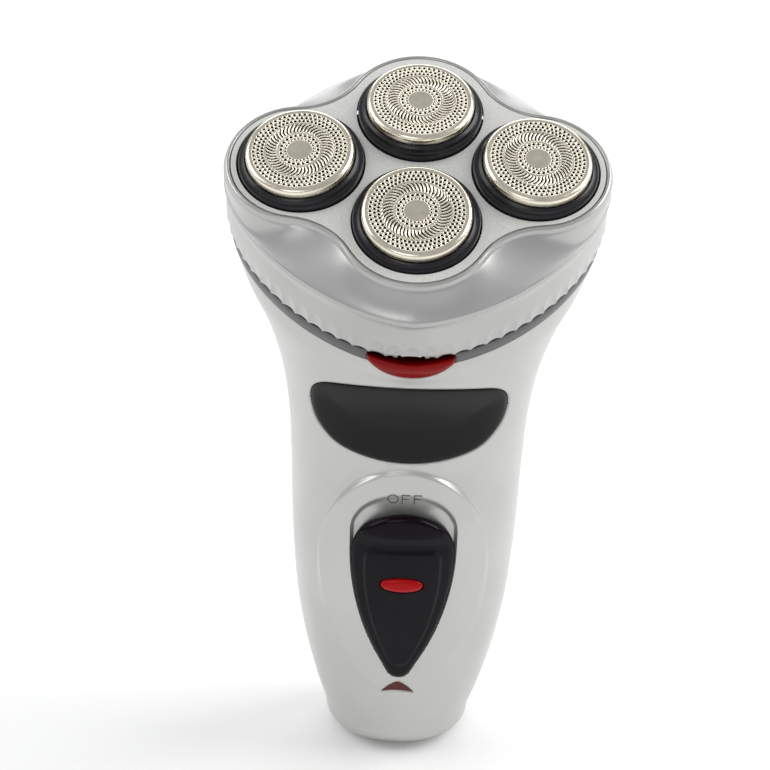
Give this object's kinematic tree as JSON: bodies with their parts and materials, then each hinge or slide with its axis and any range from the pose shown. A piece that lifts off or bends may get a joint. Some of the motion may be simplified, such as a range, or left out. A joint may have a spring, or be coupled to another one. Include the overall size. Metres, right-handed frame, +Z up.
{
  "type": "rotary electric shaver",
  "caption": "Handheld rotary electric shaver with a flip-up head of floating round cutters on a waisted handle with a slide switch.",
  "frame": {"origin": "centre of the flat base of the handle", "axes": "+Z up along the handle, -Y towards the side with the switch, +X to the right when looking at the switch"},
  "size_m": [0.0828, 0.0742, 0.1631],
  "materials": {
    "silver_body": "satin silver lacquer",
    "head_silver": "satin silver lacquer",
    "plate_silver": "fine speckled matte silver",
    "neck_grey": "satin dark grey",
    "smoked_panel": "smooth smoked, softly glossy",
    "dark_lens": "dark red-brown lens",
    "black_gloss": "glossy purple-black",
    "red_gloss": "glossy red",
    "dark_red_gloss": "glossy dark red",
    "bezel_black": "satin black",
    "guard_steel": "polished nickel-toned steel",
    "cutter_steel": "ground steel on a plastic hub",
    "screw_steel": "plain zinc plated steel",
    "spring_steel": "bright steel",
    "socket_black": "matte black",
    "contact_nickel": "nickel plated",
    "inner_plastic": "matte dark grey",
    "cell_wrap": "shrink-wrapped can",
    "light_body": "tinted clear plastic",
    "board_green": "solder-masked board",
    "motor_steel": "plated steel can",
    "magnet": "sintered, dark grey",
    "gear_plastic": "natural white gear plastic",
    "deck_plastic": "matte dark grey",
    "seal_rubber": "soft black rubber",
    "retainer_white": "matte off-white",
    "knob_grey": "matte grey",
    "spindle_head_white": "matte off-white"
  },
  "bodies": {
    "housing": {"front_shell": "silver_body", "rear_shell": "silver_body", "shell_screws": "screw_steel", "neck_ring": "neck_grey", "hinge_pin": "screw_steel", "thumb_panel": "smoked_panel", "charge_lens": "dark_lens", "release_spring": "spring_steel", "inlet_socket": "socket_black", "inlet_pins": "contact_nickel", "chassis": "inner_plastic", "battery_cell_left": "cell_wrap", "battery_cell_right": "cell_wrap", "battery_tabs": "contact_nickel", "switch_block": "socket_black", "charge_light": "light_body", "circuit_board": "board_green", "motor_can": "motor_steel", "motor_end_cap": "inner_plastic", "motor_magnets": "magnet", "gear_cover": "deck_plastic", "gear_plate": "deck_plastic", "gear_axles": "spring_steel", "deck_seal": "seal_rubber"},
    "motor_rotor": {"motor_shaft": "spring_steel", "motor_armature": "magnet", "motor_pinion": "gear_plastic"},
    "idler_left": {"idler_gear_left": "gear_plastic"},
    "idler_right": {"idler_gear_right": "gear_plastic"},
    "switch_slider": {"switch_slider": "black_gloss"},
    "lock_button": {"lock_button": "red_gloss"},
    "release_button": {"release_button": "dark_red_gloss"},
    "head": {"head_frame": "head_silver", "face_plate": "plate_silver", "cutter_retainer": "retainer_white"},
    "retainer_knob": {"retainer_knob": "knob_grey"},
    "spindle_front": {"spindle_gear_front": "gear_plastic", "spindle_spring_front": "spring_steel"},
    "spindle_head_front": {"spindle_head_front": "spindle_head_white"},
    "bezel_front": {"bezel_front": "bezel_black"},
    "guard_front": {"guard_front": "guard_steel"},
    "cutter_front": {"cutter_front": "cutter_steel"},
    "spindle_right": {"spindle_gear_right": "gear_plastic", "spindle_spring_right": "spring_steel"},
    "spindle_head_right": {"spindle_head_right": "spindle_head_white"},
    "bezel_right": {"bezel_right": "bezel_black"},
    "guard_right": {"guard_right": "guard_steel"},
    "cutter_right": {"cutter_right": "cutter_steel"},
    "spindle_back": {"spindle_gear_back": "gear_plastic", "spindle_spring_back": "spring_steel"},
    "spindle_head_back": {"spindle_head_back": "spindle_head_white"},
    "bezel_back": {"bezel_back": "bezel_black"},
    "guard_back": {"guard_back": "guard_steel"},
    "cutter_back": {"cutter_back": "cutter_steel"},
    "spindle_left": {"spindle_gear_left": "gear_plastic", "spindle_spring_left": "spring_steel"},
    "spindle_head_left": {"spindle_head_left": "spindle_head_white"},
    "bezel_left": {"bezel_left": "bezel_black"},
    "guard_left": {"guard_left": "guard_steel"},
    "cutter_left": {"cutter_left": "cutter_steel"}
  },
  "joints": [
    {"name": "motor_spin", "type": "hinge", "parent": "housing", "child": "motor_rotor", "pos_m": [0, -0.006, 0.1515], "axis": [0, -0.4695, 0.8829], "continuous": true},
    {"name": "idler_left_spin", "type": "hinge", "parent": "housing", "child": "idler_left", "pos_m": [-0.01, -0.006, 0.1515], "axis": [0, -0.4695, 0.8829], "continuous": true},
    {"name": "idler_right_spin", "type": "hinge", "parent": "housing", "child": "idler_right", "pos_m": [0.01, -0.006, 0.1515], "axis": [0, -0.4695, 0.8829], "continuous": true},
    {"name": "spindle_front_spin", "type": "hinge", "parent": "housing", "child": "spindle_front", "pos_m": [0, -0.01924, 0.14446], "axis": [0, -0.4695, 0.8829], "continuous": true},
    {"name": "spindle_head_front_press", "type": "slide", "parent": "spindle_front", "child": "spindle_head_front", "axis": [0, -0.4695, 0.8829], "range_m": [-0.0015, 0], "stiffness_N_per_m": 200, "springref_m": 0.001, "deforming": ["spindle_spring_front"]},
    {"name": "bezel_front_tilt", "type": "hinge", "parent": "head", "child": "bezel_front", "pos_m": [0, -0.0159, 0.139], "axis": [1, 0, 0], "range_deg": [-3, 3], "stiffness_Nm_per_rad": 0.03},
    {"name": "guard_front_press", "type": "slide", "parent": "bezel_front", "child": "guard_front", "axis": [0, -0.5225, 0.8526], "range_m": [-0.0015, 0], "stiffness_N_per_m": 300, "springref_m": 0.001},
    {"name": "cutter_front_spin", "type": "hinge", "parent": "guard_front", "child": "cutter_front", "pos_m": [0, -0.01924, 0.14446], "axis": [0, -0.5225, 0.8526], "continuous": true},
    {"name": "spindle_right_spin", "type": "hinge", "parent": "housing", "child": "spindle_right", "pos_m": [0.025, -0.006, 0.1515], "axis": [0, -0.4695, 0.8829], "continuous": true},
    {"name": "spindle_head_right_press", "type": "slide", "parent": "spindle_right", "child": "spindle_head_right", "axis": [0, -0.4695, 0.8829], "range_m": [-0.0015, 0], "stiffness_N_per_m": 200, "springref_m": 0.001, "deforming": ["spindle_spring_right"]},
    {"name": "bezel_right_tilt", "type": "hinge", "parent": "head", "child": "bezel_right", "pos_m": [0.02461, -0.003, 0.14586], "axis": [0, 0.8829, 0.4695], "range_deg": [-3, 3], "stiffness_Nm_per_rad": 0.03},
    {"name": "guard_right_press", "type": "slide", "parent": "bezel_right", "child": "guard_right", "axis": [0.061, -0.4686, 0.8813], "range_m": [-0.0015, 0], "stiffness_N_per_m": 300, "springref_m": 0.001},
    {"name": "cutter_right_spin", "type": "hinge", "parent": "guard_right", "child": "cutter_right", "pos_m": [0.025, -0.006, 0.1515], "axis": [0.061, -0.4686, 0.8813], "continuous": true},
    {"name": "spindle_back_spin", "type": "hinge", "parent": "housing", "child": "spindle_back", "pos_m": [0, 0.00724, 0.15854], "axis": [0, -0.4695, 0.8829], "continuous": true},
    {"name": "spindle_head_back_press", "type": "slide", "parent": "spindle_back", "child": "spindle_head_back", "axis": [0, -0.4695, 0.8829], "range_m": [-0.0015, 0], "stiffness_N_per_m": 200, "springref_m": 0.001, "deforming": ["spindle_spring_back"]},
    {"name": "bezel_back_tilt", "type": "hinge", "parent": "head", "child": "bezel_back", "pos_m": [0, 0.0099, 0.15272], "axis": [-1, 0, 0], "range_deg": [-3, 3], "stiffness_Nm_per_rad": 0.03},
    {"name": "guard_back_press", "type": "slide", "parent": "bezel_back", "child": "guard_back", "axis": [0, -0.4147, 0.91], "range_m": [-0.0015, 0], "stiffness_N_per_m": 300, "springref_m": 0.001},
    {"name": "cutter_back_spin", "type": "hinge", "parent": "guard_back", "child": "cutter_back", "pos_m": [0, 0.00724, 0.15854], "axis": [0, -0.4147, 0.91], "continuous": true},
    {"name": "spindle_left_spin", "type": "hinge", "parent": "housing", "child": "spindle_left", "pos_m": [-0.025, -0.006, 0.1515], "axis": [0, -0.4695, 0.8829], "continuous": true},
    {"name": "spindle_head_left_press", "type": "slide", "parent": "spindle_left", "child": "spindle_head_left", "axis": [0, -0.4695, 0.8829], "range_m": [-0.0015, 0], "stiffness_N_per_m": 200, "springref_m": 0.001, "deforming": ["spindle_spring_left"]},
    {"name": "bezel_left_tilt", "type": "hinge", "parent": "head", "child": "bezel_left", "pos_m": [-0.02461, -0.003, 0.14586], "axis": [0, -0.8829, -0.4695], "range_deg": [-3, 3], "stiffness_Nm_per_rad": 0.03},
    {"name": "guard_left_press", "type": "slide", "parent": "bezel_left", "child": "guard_left", "axis": [-0.061, -0.4686, 0.8813], "range_m": [-0.0015, 0], "stiffness_N_per_m": 300, "springref_m": 0.001},
    {"name": "cutter_left_spin", "type": "hinge", "parent": "guard_left", "child": "cutter_left", "pos_m": [-0.025, -0.006, 0.1515], "axis": [-0.061, -0.4686, 0.8813], "continuous": true},
    {"name": "head_hinge", "type": "hinge", "parent": "housing", "child": "head", "pos_m": [0, 0.03727, 0.14936], "axis": [-1, 0, 0], "range_deg": [0, 90]},
    {"name": "retainer_turn", "type": "hinge", "parent": "head", "child": "retainer_knob", "pos_m": [0, -0.00037, 0.1409], "axis": [0, -0.4695, 0.8829], "range_deg": [0, 90]},
    {"name": "release_press", "type": "slide", "parent": "housing", "child": "release_button", "axis": [0, 1, 0], "range_m": [0, 0.001], "stiffness_N_per_m": 800, "springref_m": -0.0005, "deforming": ["release_spring"]},
    {"name": "power_slide", "type": "slide", "parent": "housing", "child": "switch_slider", "axis": [0, 0, 1], "range_m": [0, 0.005]},
    {"name": "lock_press", "type": "slide", "parent": "switch_slider", "child": "lock_button", "axis": [0, 1, 0], "range_m": [0, 0.0008], "stiffness_N_per_m": 300, "springref_m": -0.0005}
  ],
  "couplings": [
    {"joint": "idler_left_spin", "follows": "motor_spin", "ratio": -1},
    {"joint": "idler_right_spin", "follows": "motor_spin", "ratio": -1},
    {"joint": "spindle_front_spin", "follows": "motor_spin", "ratio": -0.5},
    {"joint": "cutter_front_spin", "follows": "motor_spin", "ratio": -0.5},
    {"joint": "spindle_right_spin", "follows": "motor_spin", "ratio": 0.5},
    {"joint": "cutter_right_spin", "follows": "motor_spin", "ratio": 0.5},
    {"joint": "spindle_back_spin", "follows": "motor_spin", "ratio": -0.5},
    {"joint": "cutter_back_spin", "follows": "motor_spin", "ratio": -0.5},
    {"joint": "spindle_left_spin", "follows": "motor_spin", "ratio": 0.5},
    {"joint": "cutter_left_spin", "follows": "motor_spin", "ratio": 0.5}
  ]
}
